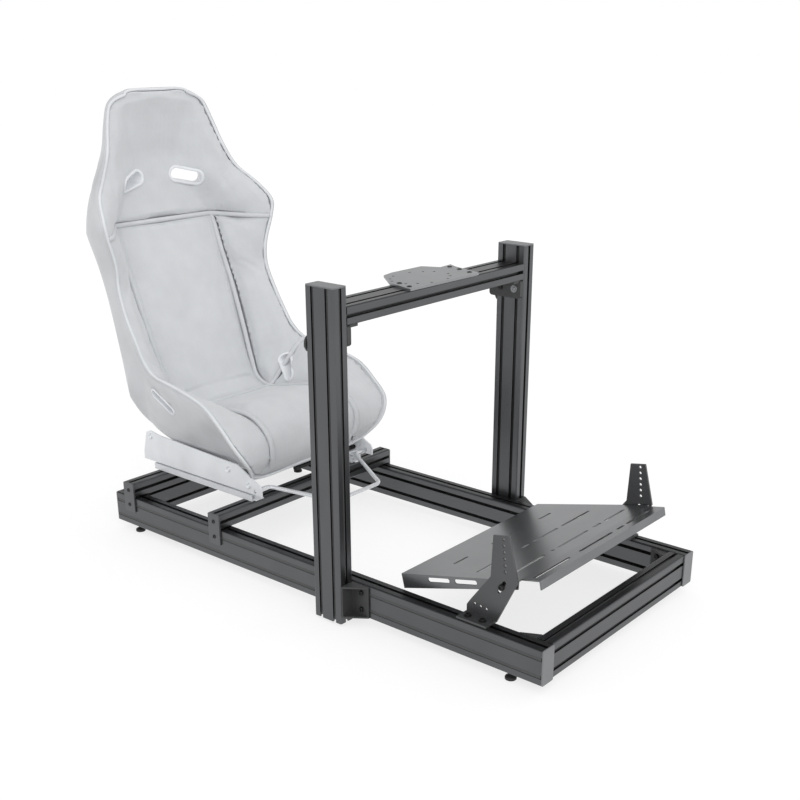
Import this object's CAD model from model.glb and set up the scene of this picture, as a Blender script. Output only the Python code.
# %% [markdown]
# # A sim racing cockpit
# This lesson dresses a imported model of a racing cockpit: a frame of slotted aluminium bars, a tilted
# pedal tray, a wheel plate on a beam, and a bucket seat that slides. The solids come from the frame
# file. Blender adds the finishes, the sewn pads, the rounded tubes and the small fasteners.

import math

import bmesh
import bpy
from mathutils import Matrix, Vector
from mathutils.bvhtree import BVHTree


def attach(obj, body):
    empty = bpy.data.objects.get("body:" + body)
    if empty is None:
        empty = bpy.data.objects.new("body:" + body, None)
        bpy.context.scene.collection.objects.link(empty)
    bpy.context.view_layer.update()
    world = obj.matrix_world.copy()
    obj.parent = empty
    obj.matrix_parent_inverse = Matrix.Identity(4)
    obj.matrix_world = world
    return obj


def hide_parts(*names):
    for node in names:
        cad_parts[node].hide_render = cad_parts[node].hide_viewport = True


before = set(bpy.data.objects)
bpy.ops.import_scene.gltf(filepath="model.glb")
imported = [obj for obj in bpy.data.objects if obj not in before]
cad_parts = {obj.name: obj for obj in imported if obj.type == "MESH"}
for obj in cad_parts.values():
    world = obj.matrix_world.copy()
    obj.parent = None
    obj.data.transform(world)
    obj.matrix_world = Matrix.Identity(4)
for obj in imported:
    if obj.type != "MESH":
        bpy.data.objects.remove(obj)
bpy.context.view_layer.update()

# %% [markdown]
# ## Where the camera stands
# A photograph is taken from one point. Here the view is kept as a direction round the cockpit, a
# height angle, a distance and a focal length in pixels of an 800 pixel square. Blender wants a lens
# in millimetres on a 36 mm sensor, and a shift for the part of the frame that the lens looks past.

# %% Camera
IMAGE = 800
azimuth, elevation = math.radians(-50.22), math.radians(21.53)
focal_pixels = 1163.9
centre_pixel = (410.8, 496.0)
looked_at = Vector((0.0, -0.1575, 0.222))
distance, beside, above = 2.8213, 0.0015, -0.0361

backward = Vector((math.sin(azimuth) * math.cos(elevation),
                   -math.cos(azimuth) * math.cos(elevation), math.sin(elevation)))
sideways = Vector((0, 0, 1)).cross(backward).normalized()
upward = backward.cross(sideways)

camera_data = bpy.data.cameras.new("studio_camera")
camera = bpy.data.objects.new("studio_camera", camera_data)
bpy.context.scene.collection.objects.link(camera)
camera.location = looked_at + backward * distance + sideways * beside + upward * above
camera.rotation_mode = "QUATERNION"
camera.rotation_quaternion = backward.to_track_quat("Z", "Y")
camera_data.sensor_width = 36
camera_data.lens = focal_pixels * camera_data.sensor_width / IMAGE
camera_data.shift_x = (IMAGE / 2 - centre_pixel[0]) / IMAGE
camera_data.shift_y = (centre_pixel[1] - IMAGE / 2) / IMAGE
camera_data.clip_end = 60
bpy.context.scene.camera = camera
print("camera at", [round(c, 3) for c in camera.location], "lens", round(camera_data.lens, 2))

# %% [markdown]
# ## Little helpers for node trees
# Every finish below is a node tree. These helpers add a node and join sockets, so that each finish
# reads as a short list of what the real surface has.

# %% Node helpers


def add(tree, kind, **inputs):
    """Add a node and set its plain inputs by name."""
    made = tree.nodes.new(kind)
    for key, value in inputs.items():
        made.inputs[key.replace("_", " ")].default_value = value
    return made


def math_node(tree, operation, a, b):
    """A Math node whose two inputs are sockets or numbers."""
    made = tree.nodes.new("ShaderNodeMath")
    made.operation = operation
    for slot, value in enumerate((a, b)):
        if isinstance(value, (int, float)):
            made.inputs[slot].default_value = value
        else:
            tree.links.new(value, made.inputs[slot])
    return made.outputs[0]


# %% [markdown]
# ## The studio
# The cockpit stands on a seamless white sweep. The floor is a real surface, so that it keeps a soft
# shadow, but what the camera and the polished metal see of it is lifted to white. The room above is
# dim, which is why the tops of the dark bars look darker than their sides.

# %% Floor
floor_mesh = bpy.data.meshes.new("studio_floor")
reach = 14.0
floor_mesh.from_pydata([(-reach, -reach, 0), (reach, -reach, 0), (reach, reach, 0), (-reach, reach, 0)],
                       [], [(0, 1, 2, 3)])
floor = bpy.data.objects.new("studio_floor", floor_mesh)
floor.location.z = -0.0004
bpy.context.scene.collection.objects.link(floor)

# %% Floor finish
floor_finish = bpy.data.materials.new("white_sweep")
floor_finish.use_nodes = True
tree = floor_finish.node_tree
tree.nodes.clear()
paths = tree.nodes.new("ShaderNodeLightPath")
seen = math_node(tree, "MAXIMUM", paths.outputs["Is Camera Ray"], paths.outputs["Is Glossy Ray"])
seen = math_node(tree, "MAXIMUM", seen, paths.outputs["Is Transmission Ray"])
lit = add(tree, "ShaderNodeBsdfDiffuse", Color=(0.80, 0.80, 0.80, 1))
shadow = add(tree, "ShaderNodeBsdfDiffuse", Color=(0.30, 0.30, 0.30, 1))
lift = add(tree, "ShaderNodeEmission", Color=(1, 1, 1, 1), Strength=0.74)
both = tree.nodes.new("ShaderNodeAddShader")
pick = tree.nodes.new("ShaderNodeMixShader")
end = tree.nodes.new("ShaderNodeOutputMaterial")
tree.links.new(shadow.outputs[0], both.inputs[0])
tree.links.new(lift.outputs[0], both.inputs[1])
tree.links.new(seen, pick.inputs[0])
tree.links.new(lit.outputs[0], pick.inputs[1])
tree.links.new(both.outputs[0], pick.inputs[2])
tree.links.new(pick.outputs[0], end.inputs[0])
floor_mesh.materials.append(floor_finish)

# %% Room light
ROOM_DIFFUSE = 0.78
ROOM_CEILING = 0.22
world = bpy.data.worlds.new("studio_room")
world.use_nodes = True
bpy.context.scene.world = world
tree = world.node_tree
tree.nodes.clear()
paths = tree.nodes.new("ShaderNodeLightPath")
place = tree.nodes.new("ShaderNodeTexCoord")
split = tree.nodes.new("ShaderNodeSeparateXYZ")
tree.links.new(place.outputs["Generated"], split.inputs[0])
wall = tree.nodes.new("ShaderNodeMapRange")
wall.interpolation_type = "SMOOTHSTEP"
tree.links.new(split.outputs["Z"], wall.inputs["Value"])
for key, value in {"From Min": 0.24, "From Max": 0.46, "To Min": 1.0, "To Max": ROOM_CEILING}.items():
    wall.inputs[key].default_value = value
mirrored = math_node(tree, "MULTIPLY", paths.outputs["Is Glossy Ray"], wall.outputs["Result"])
seen = math_node(tree, "MAXIMUM", paths.outputs["Is Camera Ray"], paths.outputs["Is Transmission Ray"])
soft = math_node(tree, "MULTIPLY", paths.outputs["Is Diffuse Ray"], ROOM_DIFFUSE)
level = math_node(tree, "MAXIMUM", math_node(tree, "MAXIMUM", seen, mirrored), soft)
sky = add(tree, "ShaderNodeBackground", Color=(1, 1, 1, 1))
end = tree.nodes.new("ShaderNodeOutputWorld")
tree.links.new(level, sky.inputs["Strength"])
tree.links.new(sky.outputs[0], end.inputs[0])

# %% Lamps
LAMPS = {
    # name: direction to the lamp, strength, width in degrees
    "key_panel": ((-0.55, -0.62, 0.56), 0.85, 50),
    "fill_panel": ((0.75, -0.45, 0.48), 0.35, 70),
}
for name, (towards, strength, width) in LAMPS.items():
    lamp_data = bpy.data.lights.new(name, "SUN")
    lamp_data.energy = strength
    lamp_data.angle = math.radians(width)
    lamp = bpy.data.objects.new(name, lamp_data)
    lamp.rotation_mode = "QUATERNION"
    lamp.rotation_quaternion = Vector(towards).to_track_quat("Z", "Y")
    bpy.context.scene.collection.objects.link(lamp)
bpy.context.scene.view_settings.view_transform = "Standard"
print("studio ready with", len(LAMPS), "lamps")

# %% [markdown]
# ## How a finish is built
# A finish starts from one shader. Fine noise in the object's own metres then varies its colour and
# its roughness a little, and a bump raises a grain. Noise that is stretched along one axis gives the
# die lines of an extruded bar.

# %% Finish helpers


def finish(name, colour, roughness, metallic=0.0, **sockets):
    """A new material with one shader; further sockets are set by their names."""
    made = bpy.data.materials.new(name)
    made.use_nodes = True
    shader = made.node_tree.nodes["Principled BSDF"]
    shader.inputs["Base Color"].default_value = (*colour, 1)
    shader.inputs["Roughness"].default_value = roughness
    shader.inputs["Metallic"].default_value = metallic
    for key, value in sockets.items():
        shader.inputs[key.replace("_", " ")].default_value = value
    return made


def grain(material, size, stretch=(1, 1, 1), detail=3.0):
    """Noise with features of about this size in metres, stretched along the axes."""
    tree = material.node_tree
    place = tree.nodes.new("ShaderNodeTexCoord")
    scale = tree.nodes.new("ShaderNodeMapping")
    scale.inputs["Scale"].default_value = [1 / (size * s) for s in stretch]
    noise = add(tree, "ShaderNodeTexNoise", Scale=1.0, Detail=detail)
    tree.links.new(place.outputs["Object"], scale.inputs["Vector"])
    tree.links.new(scale.outputs["Vector"], noise.inputs["Vector"])
    return noise.outputs["Fac"]


def vary_roughness(material, texture, low, high):
    """Let the texture move the roughness between two values."""
    tree = material.node_tree
    span = add(tree, "ShaderNodeMapRange", To_Min=low, To_Max=high)
    tree.links.new(texture, span.inputs["Value"])
    tree.links.new(span.outputs["Result"], tree.nodes["Principled BSDF"].inputs["Roughness"])


def vary_colour(material, texture, dark, light):
    """Let the texture move the colour between two tones."""
    tree = material.node_tree
    ramp = tree.nodes.new("ShaderNodeValToRGB")
    ramp.color_ramp.elements[0].position, ramp.color_ramp.elements[1].position = 0.3, 0.7
    ramp.color_ramp.elements[0].color, ramp.color_ramp.elements[1].color = (*dark, 1), (*light, 1)
    tree.links.new(texture, ramp.inputs["Fac"])
    tree.links.new(ramp.outputs["Color"], tree.nodes["Principled BSDF"].inputs["Base Color"])


def raise_grain(material, texture, height, strength=1.0):
    """Turn the texture into a bump of this height in metres."""
    tree = material.node_tree
    bump = add(tree, "ShaderNodeBump", Strength=strength, Distance=height)
    tree.links.new(texture, bump.inputs["Height"])
    tree.links.new(bump.outputs["Normal"], tree.nodes["Principled BSDF"].inputs["Normal"])


def shade(tone):
    """A nearly neutral colour of one tone, a touch cool as the anodised bars are."""
    return (tone * 0.98, tone, tone * 1.03)


# %% [markdown]
# ## Anodised bars
# The bars are pushed through a die, etched and anodised in a dark grey. The surface is satin, with
# faint lines along the bar. One finish is made for each direction that a bar runs in, because the
# lines have to follow the bar.

# %% Anodised finishes


BAR_TONE, BAR_ROUGHNESS = 0.125, 0.36
LINE_WIDTH, LINE_STRETCH = 0.0011, 60


def anodised(axis):
    """Dark satin anodising with die lines along the axis."""
    made = finish("anodised_along_" + axis, shade(BAR_TONE), BAR_ROUGHNESS, 1.0)
    stretch = [LINE_STRETCH if a == axis else 1 for a in "xyz"]
    lines = grain(made, LINE_WIDTH, stretch, 2.0)
    vary_roughness(made, lines, BAR_ROUGHNESS - 0.05, BAR_ROUGHNESS + 0.05)
    vary_colour(made, grain(made, 0.16, detail=2.0), shade(BAR_TONE - 0.008), shade(BAR_TONE + 0.008))
    raise_grain(made, lines, 0.00002, 0.5)
    return made


bar_finish = {axis: anodised(axis) for axis in "xyz"}
print("anodised finishes", len(bar_finish))

# %% [markdown]
# ## Coated steel, castings and mouldings
# The pedal tray and the wheel plate are folded sheet with a grey powder coat. The side plates are
# darker. The corner brackets are castings with a rougher coat. The caps are moulded and satin. Each
# grain has the size that the real coat has: about half a millimetre for powder, finer for plastic.

# %% Coats and plastics


def powder_coat(name, tone, rough, grain_size=0.0006, height=0.00003, metallic=0.0):
    """A coat with the faint orange peel of baked powder."""
    made = finish(name, shade(tone), rough, metallic)
    peel = grain(made, grain_size, detail=2.0)
    vary_roughness(made, peel, rough - 0.05, rough + 0.06)
    vary_colour(made, grain(made, 0.09), shade(tone * 0.94), shade(tone * 1.06))
    raise_grain(made, peel, height, 0.6)
    return made


# each has a name, a tone, a roughness and, where it isn't the usual powder, a grain size and height
tray_coat = powder_coat("tray_coat", 0.19, 0.30, metallic=0.85)
plate_coat = powder_coat("plate_coat", 0.30, 0.32, metallic=0.85)
side_coat = powder_coat("side_plate_coat", 0.105, 0.40, metallic=0.6)
cast_coat = powder_coat("cast_coat", 0.045, 0.48, 0.0012, 0.00010)
cap_plastic = powder_coat("cap_plastic", 0.18, 0.38, 0.0004, 0.00002)
slot_plastic = powder_coat("slot_plastic", 0.060, 0.44, 0.0005, 0.00002)
disc_plastic = powder_coat("disc_plastic", 0.030, 0.42, 0.0005, 0.00003)
foot_rubber = powder_coat("foot_rubber", 0.022, 0.60, 0.0008, 0.00004)
end_plate_coat = powder_coat("end_plate_coat", 0.13, 0.40, metallic=0.6)
black_oxide = powder_coat("black_oxide", 0.030, 0.34, 0.0004, 0.00002, metallic=0.6)
pale_coat = powder_coat("pale_steel_coat", 0.86, 0.42)
bright_zinc = powder_coat("zinc_plate", 0.86, 0.28, 0.0008, 0.00001, metallic=0.5)
dull_zinc = powder_coat("dull_zinc_plate", 0.30, 0.36, 0.0008, 0.00001, metallic=0.5)
print("coats and plastics made")

# %% [markdown]
# ## Knitted seat cloth and the moulded shell
# The pads are covered in a pale knit: rows of small loops, a soft sheen at grazing angles and a
# slightly uneven tone. The loops come from two crossing waves in the object's own metres, so they
# need no unwrapping. The shell behind is a pale moulding with a smooth skin.

# %% Seat finishes


def knitted_cloth(name, tone, across=0.0022, along=0.0030):
    """Pale knit: crossing waves for the loops and a broad mottling for the cloth."""
    made = finish(name, shade(tone), 0.88, Sheen_Weight=0.25, Sheen_Roughness=0.5)
    tree = made.node_tree
    place = tree.nodes.new("ShaderNodeTexCoord")
    loops = []
    for direction, loop_size in (("X", across), ("Z", along)):
        wave = add(tree, "ShaderNodeTexWave", Scale=0.05 / loop_size, Distortion=0.6, Detail=1.0)
        wave.bands_direction = direction
        tree.links.new(place.outputs["Object"], wave.inputs["Vector"])
        loops.append(wave.outputs["Fac"])
    knit = math_node(tree, "MULTIPLY", loops[0], loops[1])
    raise_grain(made, knit, 0.00035, 0.5)
    vary_colour(made, grain(made, 0.05, detail=4.0), shade(tone * 0.965), shade(tone * 1.035))
    return made


seat_cloth = knitted_cloth("seat_knit", 0.65)
shell_skin = powder_coat("shell_skin", 0.62, 0.34, 0.0030, 0.00004)
slot_moulding = powder_coat("belt_slot_moulding", 0.84, 0.30, 0.0010, 0.00002)
edge_rubber = powder_coat("edge_rubber", 0.78, 0.50, 0.0008, 0.00003)
thread = powder_coat("seam_thread", 0.66, 0.70, 0.0006, 0.00002)

# %% [markdown]
# ## Dress the solids of the frame
# The bars, plates and brackets already have their real shape, so they keep their mesh and get a
# finish. Real edges are never razor sharp: a narrow bevel gives each edge the thin line of light that
# an edge has. The solids come in as loose triangles, so a weld joins them first, and triangles that lie
# flat beside each other become one face. Then the bevel meets only real edges.

# %% Dress a solid
RUNS = {
    "rail_left": "y", "rail_right": "y", "crossbar_front": "x", "crossbar_rear": "x",
    "upright_left": "z", "upright_right": "z", "wheel_beam": "x",
    "seat_crossbar_front": "x", "seat_crossbar_rear": "x",
}
COATS = {
    "rail_end_caps": cap_plastic, "upright_caps": cap_plastic, "seat_bar_plates": end_plate_coat,
    "corner_brackets": cast_coat, "upright_brackets": cast_coat,
    "beam_bracket_left": cast_coat, "beam_bracket_right": cast_coat,
    "pedal_bracket_left": side_coat, "pedal_bracket_right": side_coat,
    "pedal_tray": tray_coat, "wheel_plate": plate_coat,
    "levelling_feet": foot_rubber, "clamp_discs": disc_plastic, "rail_slot_covers": slot_plastic,
    "slider_rail_left": pale_coat, "slider_rail_right": pale_coat,
    "slider_runner_left": pale_coat, "slider_runner_right": pale_coat,
    "side_mount_left": pale_coat, "side_mount_right": pale_coat,
    "latch_rod": black_oxide, "wheel_plate_bolts": black_oxide, "pedal_bolts": black_oxide,
    "seat_bolts": bright_zinc, "release_bar": bright_zinc, "seat_shell": shell_skin,
}
USUAL_EDGE = 0.0005
EDGE = {"pedal_tray": 0.0009, "wheel_plate": 0.0008, "corner_brackets": 0.0008}
SHARP = math.radians(35)


def dress(node, material, edge):
    """Give a CAD solid its finish and a narrow bevel."""
    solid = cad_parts[node]
    solid.data.materials.clear()
    solid.data.materials.append(material)
    weld = solid.modifiers.new("weld", "WELD")
    weld.merge_threshold = 0.00002
    flat = solid.modifiers.new("flat_faces", "DECIMATE")
    flat.decimate_type = "DISSOLVE"
    flat.angle_limit = math.radians(0.8)
    bevel = solid.modifiers.new("edge", "BEVEL")
    bevel.width = edge
    bevel.segments = 2
    bevel.limit_method = "ANGLE"
    bevel.angle_limit = SHARP
    bevel.use_clamp_overlap = True
    even = solid.modifiers.new("even_shading", "WEIGHTED_NORMAL")
    even.weight = 100
    even.keep_sharp = True


for node, axis in RUNS.items():
    dress(node, bar_finish[axis], USUAL_EDGE)
for node, coat in COATS.items():
    dress(node, coat, EDGE.get(node, USUAL_EDGE))
print("dressed", len(RUNS) + len(COATS), "solids")

# %% [markdown]
# ## The form of the bucket seat
# A bucket seat is one long curved surface. It is described at twenty stations, from the front lower
# edge to the top of the head pad. Each station gives the middle of the padded side, the rim with its
# half width, the middle of the back side, and half the width of the flat middle. Points between the
# stations come from a smooth curve through them.

# %% Seat stations in metres
SEAT_PLACE = Vector((0.0, 0.1925, 0.142))
STATIONS = [
    # middle y, z     rim half, y, z            back y, z       flat half
    (0.002, 0.064, 0.205, -0.006, 0.062, 0.008, 0.045, 0.130),
    (-0.033, 0.112, 0.250, -0.040, 0.112, 0.022, 0.044, 0.150),
    (-0.030, 0.165, 0.282, -0.030, 0.165, 0.046, 0.044, 0.156),
    (0.020, 0.205, 0.286, 0.015, 0.212, 0.074, 0.044, 0.156),
    (0.095, 0.210, 0.286, 0.075, 0.254, 0.120, 0.046, 0.152),
    (0.200, 0.190, 0.282, 0.172, 0.276, 0.210, 0.054, 0.150),
    (0.285, 0.174, 0.276, 0.262, 0.290, 0.310, 0.068, 0.148),
    (0.335, 0.190, 0.271, 0.306, 0.320, 0.402, 0.100, 0.148),
    (0.362, 0.238, 0.268, 0.332, 0.358, 0.424, 0.158, 0.150),
    (0.396, 0.325, 0.266, 0.368, 0.420, 0.436, 0.262, 0.156),
    (0.440, 0.440, 0.262, 0.394, 0.486, 0.476, 0.428, 0.160),
    (0.480, 0.540, 0.264, 0.394, 0.548, 0.518, 0.530, 0.160),
    (0.512, 0.625, 0.284, 0.389, 0.616, 0.549, 0.620, 0.158),
    (0.532, 0.707, 0.290, 0.392, 0.662, 0.563, 0.704, 0.112),
    (0.538, 0.755, 0.268, 0.430, 0.710, 0.568, 0.752, 0.070),
    (0.538, 0.796, 0.228, 0.462, 0.754, 0.566, 0.796, 0.070),
    (0.530, 0.836, 0.198, 0.477, 0.810, 0.557, 0.838, 0.080),
    (0.518, 0.890, 0.176, 0.496, 0.880, 0.543, 0.894, 0.092),
    (0.506, 0.932, 0.155, 0.505, 0.926, 0.528, 0.940, 0.094),
    (0.500, 0.950, 0.110, 0.503, 0.946, 0.517, 0.960, 0.084),
]
LAST = len(STATIONS) - 1
BASE_HALF, BACK_HALF, NECK_HALF = 0.188, 0.240, 0.120  # half widths of the shell's back face
RIM_T, SHELL_T, PAD_GAP = 0.016, 0.008, 0.0006  # rim, shell and the air between shell and pads
FOLD = 0.62  # where the flat middle ends and a bolster starts, as a share of the half width


def station(u):
    """The eight measures at any place along the seat, on a smooth curve through the stations."""
    i = min(int(u), LAST - 1)
    t = u - i
    a, b, c, d = (STATIONS[min(max(k, 0), LAST)] for k in (i - 1, i, i + 1, i + 2))
    return [0.5 * (2 * q + (r - p) * t + (2 * p - 5 * q + 4 * r - s) * t * t
                   + (3 * q - p - 3 * r + s) * t ** 3) for p, q, r, s in zip(a, b, c, d)]


# %% Seat surfaces


def mix(a, b, t):
    return a + (b - a) * t


def share(u, a, b):
    """How far u has come from a to b, kept between 0 and 1."""
    return min(max((u - a) / (b - a), 0), 1)


def bezier(a, b, c, d, t):
    return a * (1 - t) ** 3 + b * (3 * t * (1 - t) ** 2) + c * (3 * t * t * (1 - t)) + d * t ** 3


def inside(u, v):
    """A point of the padded side: u runs along the seat, v across it from -1 to 1."""
    my, mz, half, ry, rz, _, _, flat = station(u)
    q, half = abs(v), half - RIM_T
    if q <= FOLD:
        p = Vector((flat * q / FOLD, my, mz))
    else:
        p = bezier(
            Vector((flat, my, mz)), Vector((mix(flat, half, 0.3), mix(my, ry, 0.3), mix(mz, rz, 0.3))),
            Vector((mix(flat, half, 0.8), mix(my, ry, 0.98), mix(mz, rz, 0.98))),
            Vector((half, ry, rz)), (q - FOLD) / (1 - FOLD))
    p.x *= -1 if v < 0 else 1
    return SEAT_PLACE + p


def outside(u, v):
    """A point of the shell's back side."""
    _, _, half, ry, rz, by, bz, _ = station(u)
    q, blend, neck, full = abs(v), share(u, 7, 8), share(u, 12, 14), share(u, 3, 6)
    base = min(BASE_HALF + 0.009 * full, half * 0.88)
    low = mix(base, mix(min(BACK_HALF, half * 0.97), min(NECK_HALF, half * 0.88), neck), blend)
    deep = mix(base + 0.004, half * mix(1, 0.98, neck), blend)
    rise = mix(mix(0.42, 0.06, full), mix(0.25, 0.42, neck), blend)
    if q <= FOLD / 2:
        p = Vector((low * 0.55 * q / (FOLD / 2), by, bz))
    else:
        p = bezier(
            Vector((low * 0.55, by, bz)), Vector((low, by, bz)),
            Vector((deep, mix(by, ry, rise), mix(bz, rz, rise))),
            Vector((half, ry, rz)), (q - FOLD / 2) / (1 - FOLD / 2))
    p.x *= -1 if v < 0 else 1
    return SEAT_PLACE + p


def layer(u, v, depth):
    """A point at a depth from the back side towards the padded side."""
    a, b = outside(u, v), inside(u, v)
    return a + (b - a) * min(1, depth / (b - a).length)


# %% [markdown]
# ## Meshes from grids and from loops
# Two small makers serve most pieces. One closes two grids of points into a solid, as for a shell or a
# pad. The other joins closed loops of points one after another, as a potter's lathe would, and does
# bolts, knobs, tubes and rims.

# %% Mesh makers


def new_piece(name, points, faces, material, body, smooth=True):
    """A mesh object with one finish that rides on a body."""
    mesh = bpy.data.meshes.new(name)
    mesh.from_pydata([tuple(p) for p in points], [], faces)
    mesh.validate()
    made = bpy.data.objects.new(name, mesh)
    bpy.context.scene.collection.objects.link(made)
    mesh.materials.append(material)
    for face in mesh.polygons:
        face.use_smooth = smooth
    tidy = bmesh.new()
    tidy.from_mesh(mesh)
    bmesh.ops.recalc_face_normals(tidy, faces=tidy.faces)
    tidy.to_mesh(mesh)
    tidy.free()
    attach(made, body)
    return made


def grid_solid(front, back):
    """Points and faces of a closed solid between two grids of the same size."""
    rows, cols = len(front), len(front[0])
    size = rows * cols
    faces = []
    for r in range(rows - 1):
        for c in range(cols - 1):
            a, b, d, e = r * cols + c, r * cols + c + 1, (r + 1) * cols + c + 1, (r + 1) * cols + c
            faces += [(a, e, d, b), (size + a, size + b, size + d, size + e)]
    edge = [(0, c) for c in range(cols)] + [(r, cols - 1) for r in range(1, rows)]
    edge += [(rows - 1, c) for c in range(cols - 2, -1, -1)] + [(r, 0) for r in range(rows - 2, 0, -1)]
    ring = [r * cols + c for r, c in edge]
    for a, b in zip(ring, ring[1:] + ring[:1]):
        faces.append((a, b, size + b, size + a))
    return [p for row in front for p in row] + [p for row in back for p in row], faces


def loft(loops, closed=False):
    """Points and faces of a solid through loops of equal length; closed joins last to first."""
    sides = len(loops[0])
    points = [p for loop in loops for p in loop]
    faces = []
    spans = len(loops) if closed else len(loops) - 1
    for k in range(spans):
        a, b = k * sides, (k + 1) % len(loops) * sides
        for i in range(sides):
            j = (i + 1) % sides
            faces.append((a + i, a + j, b + j, b + i))
    if not closed:
        faces += [tuple(range(sides)), tuple(reversed(range(len(points) - sides, len(points))))]
    return points, faces


def join_parts(parts):
    """One list of points and faces from several."""
    points, faces = [], []
    for some_points, some_faces in parts:
        base = len(points)
        points += some_points
        faces += [tuple(base + i for i in face) for face in some_faces]
    return points, faces


# %% [markdown]
# ## The shell
# The shell is moulded in one piece, eight millimetres thick, with a rounded rim. The solid in the
# frame has flat facets, so a finer shell over the same stations stands for it.

# %% Moulded shell


def steps(low, high, count):
    return [low + (high - low) * i / count for i in range(count + 1)]


along_seat = steps(0, LAST, 114)
across_seat = steps(-1, 1, 64)
shell = new_piece(
    "shell_moulding",
    *grid_solid([[layer(u, v, SHELL_T) for v in across_seat] for u in along_seat],
                [[outside(u, v) for v in across_seat] for u in along_seat]),
    shell_skin, "seat")
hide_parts("seat_shell")
print("shell faces", len(shell.data.polygons))

# %% [markdown]
# ## The pads
# A pad is foam under a sewn cover. It is cut a little small, then blown up like a cushion with
# Blender's cloth: the side that is glued to the shell is pinned, and no point may move further than
# the cap. That pulls the edges in and crowns the middle, as tight upholstery does. Last the cover is
# smoothed a little, because a sewn edge is round.

# %% Pad blanks


PAD_INSET, PAD_SINK = 0.0009, 0.004


def pad_blank(u0, u1, v0, v1):
    """A closed blank over part of the seat, drawn in at its edges and sunk a little."""
    rows = steps(u0, u1, max(6, round((u1 - u0) * 6)))
    cols = steps(v0, v1, 24)
    top, low = [], []
    for u in rows:
        top.append([inside(u, v) for v in cols])
        low.append([layer(u, v, SHELL_T + PAD_GAP) for v in cols])
    for r, row in enumerate(top):
        for c, p in enumerate(row):
            down = low[r][c] - p
            if down.length > PAD_SINK * 1.5:
                row[c] = p + down.normalized() * PAD_SINK
    for grid in (top, low):
        ends = []
        for r, row in enumerate(grid):
            drawn = []
            for c, p in enumerate(row):
                pull = Vector()
                if c in (0, len(row) - 1) and abs((v0, v1)[c > 0]) < 1:
                    pull += (row[1 if c == 0 else -2] - p).normalized() * PAD_INSET
                if r in (0, len(grid) - 1) and 0 < (u0, u1)[r > 0] < LAST:
                    pull += (grid[1 if r == 0 else -2][c] - p).normalized() * PAD_INSET
                drawn.append(p + pull)
            ends.append(drawn)
        grid[:] = ends
    return top, low


# %% Blow a pad up


VOXEL, PRESSURE = 0.006, 4.0
MOMENTS = 14


def blow_up(pad, glued_side, cap):
    """Remesh the blank, pin its glued side, inflate it, keep each point near its start, smooth it."""
    bpy.context.view_layer.objects.active = pad
    remesh = pad.modifiers.new("even_faces", "REMESH")
    remesh.mode = "VOXEL"
    remesh.voxel_size = VOXEL
    bpy.ops.object.modifier_apply(modifier=remesh.name)
    glue_tree = BVHTree.FromPolygons(*glued_side)
    glued = pad.vertex_groups.new(name="glued")
    start = [v.co.copy() for v in pad.data.vertices]
    held = [i for i, p in enumerate(start) if glue_tree.find_nearest(p)[3] < VOXEL * 0.8]
    glued.add(held, 1.0, "REPLACE")
    cloth = pad.modifiers.new("cover", "CLOTH")
    cloth.settings.vertex_group_mass = "glued"
    cloth.settings.use_pressure = True
    cloth.settings.uniform_pressure_force = PRESSURE
    cloth.settings.effector_weights.gravity = 0
    cloth.settings.quality = 4
    cloth.settings.tension_stiffness = cloth.settings.compression_stiffness = 12
    cloth.collision_settings.use_collision = False
    for moment in range(1, MOMENTS + 1):
        bpy.context.scene.frame_set(moment)
    bpy.ops.object.modifier_apply(modifier=cloth.name)
    bpy.context.scene.frame_set(1)
    for vertex, from_point in zip(pad.data.vertices, start):
        move = vertex.co - from_point
        if move.length > cap:
            vertex.co = from_point + move * (cap / move.length)
    even = pad.modifiers.new("even", "SMOOTH")
    even.factor, even.iterations = 0.5, 5
    bpy.ops.object.modifier_apply(modifier=even.name)
    return len(held)


# %% Make the pads
PADS = {
    # name: node, from and to along the seat, from and to across it, cap
    "sewn_cushion": ("seat_cushion", 0, 6, -FOLD, FOLD, 0.009),
    "sewn_thigh_pad_right": ("thigh_bolster_right", 0, 6, -1, -FOLD, 0.008),
    "sewn_thigh_pad_left": ("thigh_bolster_left", 0, 6, FOLD, 1, 0.008),
    "sewn_back_pad": ("back_pad", 6, 12, -FOLD, FOLD, 0.009),
    "sewn_side_pad_right": ("side_bolster_right", 6, 12, -1, -FOLD, 0.008),
    "sewn_side_pad_left": ("side_bolster_left", 6, 12, FOLD, 1, 0.008),
    "sewn_head_pad": ("head_pad", 12, LAST, -1, 1, 0.007),
}
pads = {}
for name, (node, u0, u1, v0, v1, cap) in PADS.items():
    top, low = pad_blank(u0, u1, v0, v1)
    points, faces = grid_solid(top, low)
    pad = new_piece(name, points, faces, seat_cloth, "seat")
    cols = len(low[0])
    low_faces = [(r * cols + c, r * cols + c + 1, (r + 1) * cols + c + 1, (r + 1) * cols + c)
                 for r in range(len(low) - 1) for c in range(cols - 1)]
    held = 0
    held = blow_up(pad, ([p for row in low for p in row], low_faces), cap)
    rounder = pad.modifiers.new("rounder", "SUBSURF")
    rounder.levels = rounder.render_levels = 1
    bpy.context.view_layer.objects.active = pad
    bpy.ops.object.modifier_apply(modifier=rounder.name)
    for face in pad.data.polygons:
        face.use_smooth = True
    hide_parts(node)
    pads[name] = pad
    print(name, "faces", len(pad.data.polygons), "glued", held)

# %% [markdown]
# ## Belt slots
# A harness runs through the seat: over each shoulder and round each hip. Each way through is a long
# hole with round ends. It is cut out of the pads and the shell, and a pale moulding lines it. The
# moulding is a ring with a flange that lies on the cloth in front and on the shell behind, so it is
# drawn round the hole and dropped onto both surfaces with rays.

# %% Places of the belt slots
SLOTS = {
    # name: centre, turns in degrees about axes, length, width
    "shoulder": ((0.092, 0.520, 0.731), ((-30, "Z"), (13, "Y"), (90, "X")), 0.086, 0.030),
    "hip": ((0.215, 0.256, 0.221), ((37, "X"), (90, "Z"), (90, "X")), 0.078, 0.020),
}


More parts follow.
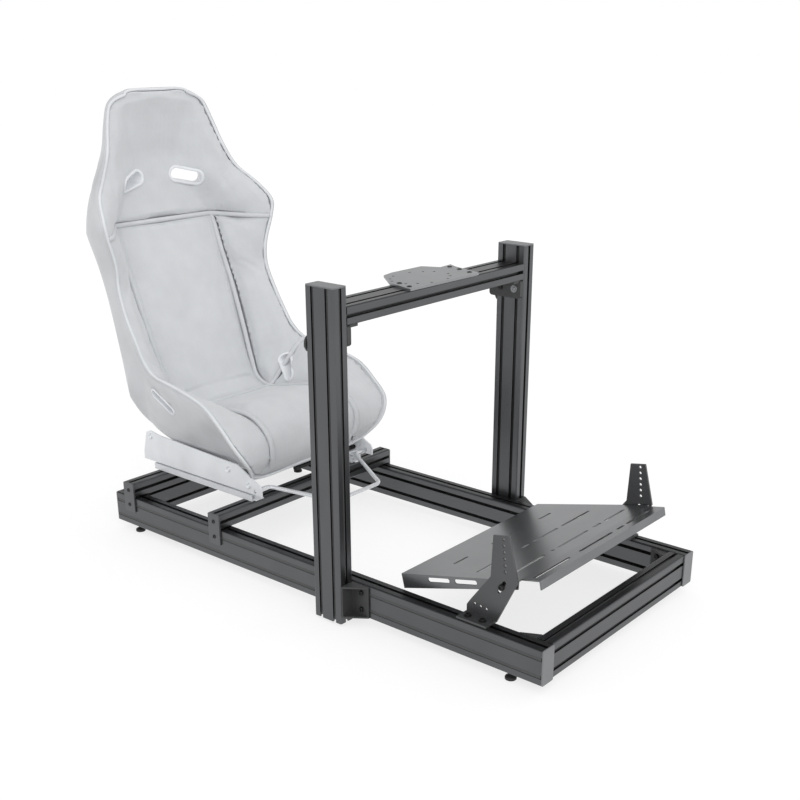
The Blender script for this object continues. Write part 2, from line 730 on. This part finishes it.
def slot_axes(kind, side):
    """The centre of a belt slot, and its directions along, across and through."""
    (x, y, z), turns, length, width = SLOTS[kind]
    turned = Matrix.Identity(3)
    for degrees, axis in turns:
        turned = turned @ Matrix.Rotation(math.radians(degrees), 3, axis)
    flip = Matrix.Diagonal((side, 1, 1))
    axes = [flip @ (turned @ Vector(a)) for a in ((1, 0, 0), (0, 1, 0), (0, 0, 1))]
    return SEAT_PLACE + Vector((side * x, y, z)), axes, length, width


def stadium(length, width, count=40):
    """Points round a long hole with round ends."""
    half, radius = (length - width) / 2, width / 2
    ring = []
    for i in range(count):
        angle = 2 * math.pi * (i + 0.5) / count
        ring.append((half * (1 if math.cos(angle) > 0 else -1) + radius * math.cos(angle),
                     radius * math.sin(angle)))
    return ring


# %% Cut a belt slot


def cutter(kind, side, grow):
    """A round-ended bar that stands through the seat where a belt slot is."""
    centre, (along, across, through), length, width = slot_axes(kind, side)
    ring = stadium(length + 2 * grow, width + 2 * grow)
    loops = [[centre + along * a + across * b + through * d for a, b in ring] for d in (-0.07, 0.07)]
    return new_piece("cutter", *loft(loops), seat_cloth, "seat", smooth=False)


def cut(piece, bar):
    """Take the bar out of the piece."""
    hole = piece.modifiers.new("hole", "BOOLEAN")
    hole.operation, hole.solver, hole.object = "DIFFERENCE", "EXACT", bar
    bpy.context.view_layer.objects.active = piece
    bpy.ops.object.modifier_apply(modifier=hole.name)


def surface_of(pieces):
    """A search tree over the faces of some pieces, before they are cut."""
    points, faces = join_parts([([v.co.copy() for v in p.data.vertices],
                                 [tuple(f.vertices) for f in p.data.polygons]) for p in pieces])
    return BVHTree.FromPolygons(points, faces)


CUTS = {
    # slot and side: the pads that it runs through
    ("shoulder", 1): ("sewn_head_pad",), ("shoulder", -1): ("sewn_head_pad",),
    ("hip", 1): ("sewn_thigh_pad_left", "sewn_side_pad_left"),
    ("hip", -1): ("sewn_thigh_pad_right", "sewn_side_pad_right"),
}
CUT_CLEAR = 0.0015  # room for the moulding round the opening
slot_surface = surface_of([shell] + list(pads.values()))
for (kind, side), names in CUTS.items():
    bar = cutter(kind, side, CUT_CLEAR)
    for piece in [shell] + [pads[n] for n in names]:
        cut(piece, bar)
    bpy.data.objects.remove(bar)
print("belt slots cut, shell faces now", len(shell.data.polygons))

# %% Line the belt slots
FLANGE = {"shoulder": 0.0075, "hip": 0.0055}


def slot_lining(kind, side):
    """Loops of a moulded ring that lines a belt slot, with a flange on both faces."""
    centre, (along, across, through), length, width = slot_axes(kind, side)
    flange = FLANGE[kind]
    profile = [(flange, -0.0008), (flange, 0.0010), (flange - 0.0015, 0.0026), (0.0012, 0.0032),
               (0.0002, 0.0022), (0.0, 0.0)]
    loops = []
    for towards in (1, -1):
        rows = profile if towards == 1 else profile[::-1]
        for grow, rise in rows:
            row = []
            for a, b in stadium(length + 2 * grow, width + 2 * grow):
                spot = centre + along * a + across * b
                hit = slot_surface.ray_cast(spot + through * (0.09 * towards), -through * towards)[0]
                row.append((hit or spot) + through * (rise * towards))
            loops.append(row)
    return loops


for kind, side in CUTS:
    name = f"{kind}_slot_ring_" + ("left" if side > 0 else "right")
    ring = new_piece(name, *loft(slot_lining(kind, side), closed=True), slot_moulding, "seat")
print("belt slot rings", len(CUTS))

# %% [markdown]
# ## Seams, piping and the rim
# Where two pads meet, the cover dips into a seam. A cord of the same cloth lies at the bottom of the
# dip and closes it, and a row of stitches runs beside it. Round the whole rim a pale bead hides the
# edge between the shell and the pads.

# %% Tubes and stitches


def tube(path, radius, sides=10, closed=False):
    """Points and faces of a round tube along a path."""
    loops, aside = [], None
    count = len(path)
    for i, p in enumerate(path):
        before = path[i - 1] if closed or i else p
        after = path[(i + 1) % count] if closed or i + 1 < count else p
        ahead = (after - before).normalized()
        if aside is None:
            aside = ahead.cross(Vector((0, 0, 1)) if abs(ahead.z) < 0.9 else Vector((1, 0, 0)))
        aside = (aside - ahead * aside.dot(ahead)).normalized()
        over = ahead.cross(aside)
        loops.append([p + aside * (radius * math.cos(a)) + over * (radius * math.sin(a))
                      for a in (2 * math.pi * k / sides for k in range(sides))])
    return loft(loops, closed)


def along_seam(u0, u1, v0, v1, depth, spacing):
    """Points along a straight run in the seat's own measures, at a depth under the pads."""
    coarse = [inside(mix(u0, u1, i / 12), mix(v0, v1, i / 12)) for i in range(13)]
    length = sum((b - a).length for a, b in zip(coarse, coarse[1:]))
    count = max(4, round(length / spacing))
    found = []
    for i in range(count + 1):
        u, v = mix(u0, u1, i / count), mix(v0, v1, i / count)
        top, low = inside(u, v), layer(u, v, SHELL_T)
        found.append(top + (low - top).normalized() * depth)
    return found


SEAMS = {
    # name: from and to along the seat, from and to across it
    "fold_left": (0, 12, FOLD, FOLD), "fold_right": (0, 12, -FOLD, -FOLD),
    "waist": (6, 6, -1, 1), "neck": (12, 12, -1, 1),
}
CORD_RADIUS, CORD_DEPTH = 0.0062, 0.0050
cords = [tube(along_seam(*run, CORD_DEPTH, 0.010), CORD_RADIUS, sides=14) for run in SEAMS.values()]
piping = new_piece("seam_piping", *join_parts(cords), seat_cloth, "seat")

# %% Stitches
THREAD_RADIUS, STITCH_RISE, STITCH_SINK, STITCH_STEP = 0.00055, 0.0004, 0.0006, 0.006
pad_surface = surface_of(pads.values())


def stitch(a, b, out):
    """One stitch: a short thread that rises out of the cloth and goes back in."""
    ends = [a - out * STITCH_SINK, a.lerp(b, 0.3) + out * STITCH_RISE,
            a.lerp(b, 0.7) + out * STITCH_RISE, b - out * STITCH_SINK]
    return tube(ends, THREAD_RADIUS, sides=6)


def stitch_row(points):
    """Stitches along a run of points that are dropped onto the pads."""
    made = []
    for a, b in zip(points, points[1:]):
        hits = [pad_surface.find_nearest(p) for p in (a, a.lerp(b, 0.62))]
        if all(h[0] is not None and h[3] < 0.012 for h in hits):
            made.append(stitch(hits[0][0], hits[1][0], (hits[0][1] + hits[1][1]).normalized()))
    return made


rows = []
for shift in (-0.045, 0.045):
    for side in (-1, 1):
        v = side * FOLD + shift
        rows += stitch_row(along_seam(0.15, 11.85, v, v, 0, STITCH_STEP))
for u in (5.88, 6.12, 11.86, 12.14):
    rows += stitch_row(along_seam(u, u, -0.9, 0.9, 0, STITCH_STEP))
stitches = new_piece("seam_stitches", *join_parts(rows), thread, "seat")
print("stitches", len(rows))

# %% Rim bead
rim_path = [layer(u, 1, SHELL_T) for u in steps(0.05, LAST, 110)]
rim_path += [layer(LAST, v, SHELL_T) for v in steps(1, -1, 24)[1:]]
rim_path += [layer(u, -1, SHELL_T) for u in steps(LAST, 0.05, 110)[1:]]
rim_path += [layer(0.05, v, SHELL_T) for v in steps(-1, 1, 40)[1:-1]]
rim_bead = new_piece("rim_bead", *tube(rim_path, 0.0036, closed=True), edge_rubber, "seat")
print("rim bead points", len(rim_path))

# %% [markdown]
# ## The slide release bar
# The bar is one round rod, bent cold, so its corners are bends and not joints. The path below has a
# short arc in place of each corner, and a tube follows it.

# %% Bent rod


def rounded_path(corners, radius, count=8):
    """A path through the corners with an arc in place of each inner corner."""
    path = [corners[0]]
    for before, at, after in zip(corners, corners[1:], corners[2:]):
        back, ahead = (before - at).normalized(), (after - at).normalized()
        bend = math.pi - back.angle(ahead)
        reach = min(radius * math.tan(bend / 2), (before - at).length * 0.48, (after - at).length * 0.48)
        start, stop = at + back * reach, at + ahead * reach
        for i in range(count + 1):
            t = i / count
            path.append(start * (1 - t) ** 2 + at * (2 * t * (1 - t)) + stop * t ** 2)
    return path + [corners[-1]]


BAR_RADIUS, BAR_BEND = 0.005, 0.022
bar_half = [(0.207, -0.022, 0.033), (0.160, -0.022, 0.033), (0.082, -0.179, 0.010)]
bar_corners = [SEAT_PLACE + Vector(c) for c in bar_half]
bar_corners += [SEAT_PLACE + Vector((-x, y, z)) for x, y, z in bar_half[::-1]]
bar_path = rounded_path(bar_corners, BAR_BEND)
release = new_piece("bent_release_bar", *tube(bar_path, BAR_RADIUS, 20), bright_zinc, "release")
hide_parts("release_bar")
print("release bar points", len(release.data.vertices))

# %% [markdown]
# ## Screws and bolts
# The frame is held with socket screws. A screw head is a lathed disc with a six sided hole in it, so
# each ring of points below has twenty four points, and the rings of the hole follow a hexagon. A
# washer lies under each head. Heads that the frame file already has are replaced at their own size.

# %% Lathe and screws
ROUND = 24
FOOT_HEIGHT, HALF_LENGTH = 22, 757.5  # millimetres


def rig(x, y, z):
    """A point in millimetres from the rails' front end and lower face, as metres in the frame."""
    return Vector((x / 1000, (y - HALF_LENGTH) / 1000, (z + FOOT_HEIGHT) / 1000))


def ring_of(place, axis, radius, height, six=False):
    """A ring of points about an axis, round or six sided."""
    side = axis.cross(Vector((0, 0, 1)) if abs(axis.z) < 0.9 else Vector((0, 1, 0))).normalized()
    over = axis.cross(side)
    points = []
    for i in range(ROUND):
        angle = 2 * math.pi * i / ROUND
        r = radius / math.cos((angle % (math.pi / 3)) - math.pi / 6) * 0.9 if six else radius
        points.append(place + axis * height + side * (r * math.cos(angle)) + over * (r * math.sin(angle)))
    return points


def lathe(place, axis, profile):
    """A solid from rings; each entry is radius, height and whether it is six sided."""
    return loft([ring_of(place, axis, r, h, bool(six)) for r, h, six in profile])


def socket_screw(place, axis, head_r, head_h, washer=0.0):
    """A cylinder head with a chamfer, a six sided socket and, if wanted, a washer under it."""
    parts = []
    low = 0.0
    if washer:
        low = 0.0012
        parts.append(lathe(place, axis, [(washer - 0.0003, 0, 0), (washer, 0.0003, 0),
                                         (washer, 0.0009, 0), (washer - 0.0003, low, 0)]))
    top, hole = low + head_h, head_r * 0.52
    chamfer = min(0.0008, head_r * 0.15)
    parts.append(lathe(place, axis, [
        (head_r - 0.0002, low - 0.001, 0), (head_r, low, 0), (head_r, top - chamfer, 0),
        (head_r - chamfer, top, 0), (hole * 1.12, top, 0), (hole, top - 0.0004, 1),
        (hole, top - head_h * 0.6, 1), (hole * 0.3, top - head_h * 0.66, 1)]))
    return parts


def screws(name, spots, material, body, extra=(), replaces=None):
    """One piece from many screws; each spot is place, axis, head radius, head height, washer."""
    parts = [part for spot in spots for part in socket_screw(*spot)] + list(extra)
    made = new_piece(name, *join_parts(parts), material, body)
    crease = made.modifiers.new("crisp", "EDGE_SPLIT")
    crease.split_angle = SHARP
    if replaces:
        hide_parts(replaces)
    return made


X, Y, Z = Vector((1, 0, 0)), Vector((0, 1, 0)), Vector((0, 0, 1))

# %% Screws that the frame file has
SEAT_BOLTS = ((74, 69), (378, 92), (0, 44))  # behind and above the seat's own zero
PLATE_BOLTS = ((-94, 524), (-80, 564), (122, 524), (136, 564), (146, 600))
seat_spots, plate_spots, tray_spots, spacers = [], [], [], []
for side in (-1, 1):
    for y, z in SEAT_BOLTS:
        seat_spots.append((rig(side * 207, 950 + y, 120 + z), X * side, 0.007, 0.0040, 0.0085))
    tray_spots.append((rig(side * 275, 130, 164), X * side, 0.0065, 0.0038, 0.007))
    spacers.append(lathe(rig(side * 265, 130, 164), X * side,
                         [(0.0072, 0, 0), (0.008, 0.0008, 0), (0.008, 0.0042, 0), (0.0072, 0.005, 0)]))
for x, y in PLATE_BOLTS:
    plate_spots.append((rig(x, y, 695.5), Z, 0.0062, 0.0036, 0.0))
screws("seat_screws", seat_spots, bright_zinc, "seat", replaces="seat_bolts")
screws("plate_screws", plate_spots, black_oxide, "frame", replaces="wheel_plate_bolts")
screws("tray_screws", tray_spots, black_oxide, "frame", spacers, "pedal_bolts")
print("screws replaced", len(seat_spots) + len(plate_spots) + len(tray_spots))

# %% [markdown]
# Each cast bracket is held by screws into nuts in the slots, and so are the feet of the pedal plates
# and the end plates of the seat bars. They are small, so the frame file leaves them out.

# %% Screws of the brackets and plates
frame_spots = []
for side in (-1, 1):
    for z in (20, 60):
        for x, y, way in ((271, 68, -1), (271, 1282, -1), (319, 474, 1)):
            frame_spots.append((rig(side * x, y, z), X * side * way, 0.0050, 0.004, 0.0065))
    frame_spots.append((rig(side * 303, 564, 631), X * -side, 0.0050, 0.003, 0.0075))
    for y in (161, 199):
        frame_spots.append((rig(side * 295, y, 85), Z, 0.0062, 0.004, 0.0085))
    for y in (960, 1292):
        for z in (60, 100):
            frame_spots.append((rig(side * 319.5, y, z), X * side, 0.0050, 0.0018, 0.0))
screws("frame_screws", frame_spots, black_oxide, "frame")
beam_spots = [(rig(side * 303, 524, 631), X * -side, 0.0055, 0.003, 0.009) for side in (-1, 1)]
screws("beam_screws", beam_spots, dull_zinc, "frame")
print("frame screws", len(frame_spots), "beam screws", len(beam_spots))

# %% [markdown]
# ## Clamp discs and feet
# Behind each upright sits a flat clamp disc with a fine grip round its edge. Under the rails stand
# levelling feet: a rubber pad, a threaded stem and a lock nut. Both are lathed, and the grip and the
# thread come from rings of slightly different radius.

# %% Clamp discs


def gripped(rings, teeth):
    """Push every second point of the rings in a little, so that the edge has a grip."""
    for ring in rings:
        middle = sum(ring, Vector()) / len(ring)
        for i in range(0, len(ring), teeth):
            ring[i] = middle + (ring[i] - middle) * 0.965
    return rings


# radius and height of each ring, in metres
GRIP_EDGE = ((0.0204, 0.0006), (0.0210, 0.0012), (0.0210, 0.0050))
DISC_FACE = ((0.0192, 0.0068), (0.0150, 0.0070), (0.0142, 0.0064), (0.0085, 0.0064))
disc_parts = []
for side in (-1, 1):
    place = rig(side * 336.5, 584, 610)
    disc_parts.append(lathe(place, Y, [(0.0195, 0, 0), (0.0205, 0.0006, 0)]))
    grip = [ring_of(place, Y, r, h) for r, h in GRIP_EDGE]
    disc_parts.append(loft(gripped(grip, 2) + [ring_of(place, Y, r, h) for r, h in DISC_FACE]))
    disc_parts += socket_screw(place + Y * 0.0064, Y, 0.0062, 0.0042)
discs = new_piece("grip_discs", *join_parts(disc_parts), disc_plastic, "frame")
discs.modifiers.new("crisp", "EDGE_SPLIT").split_angle = math.radians(40)
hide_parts("clamp_discs")
print("disc faces", len(discs.data.polygons))

# %% Levelling feet
PAD_RINGS = [(0.0115, 0, 0), (0.0125, 0.0010, 0), (0.0125, 0.0050, 0), (0.0116, 0.0066, 0),
             (0.0080, 0.0080, 0), (0.0064, 0.0092, 0)]
THREAD_RINGS = [(0.0048 if i % 2 else 0.0042, 0.0090 + 0.0005 * i, 0) for i in range(16)]
NUT_RINGS = [(0.0074, 0.0160, 0), (0.0085, 0.0166, 1), (0.0085, 0.0214, 1), (0.0074, 0.0220, 0)]
foot_parts = []
for side in (-1, 1):
    for y in (86, 1288):
        place = rig(side * 295, y, -FOOT_HEIGHT)
        foot_parts += [lathe(place, Z, rings) for rings in (PAD_RINGS, THREAD_RINGS, NUT_RINGS)]
feet = new_piece("rubber_feet", *join_parts(foot_parts), foot_rubber, "frame")
feet.modifiers.new("crisp", "EDGE_SPLIT").split_angle = math.radians(40)
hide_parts("levelling_feet")
print("feet faces", len(feet.data.polygons))
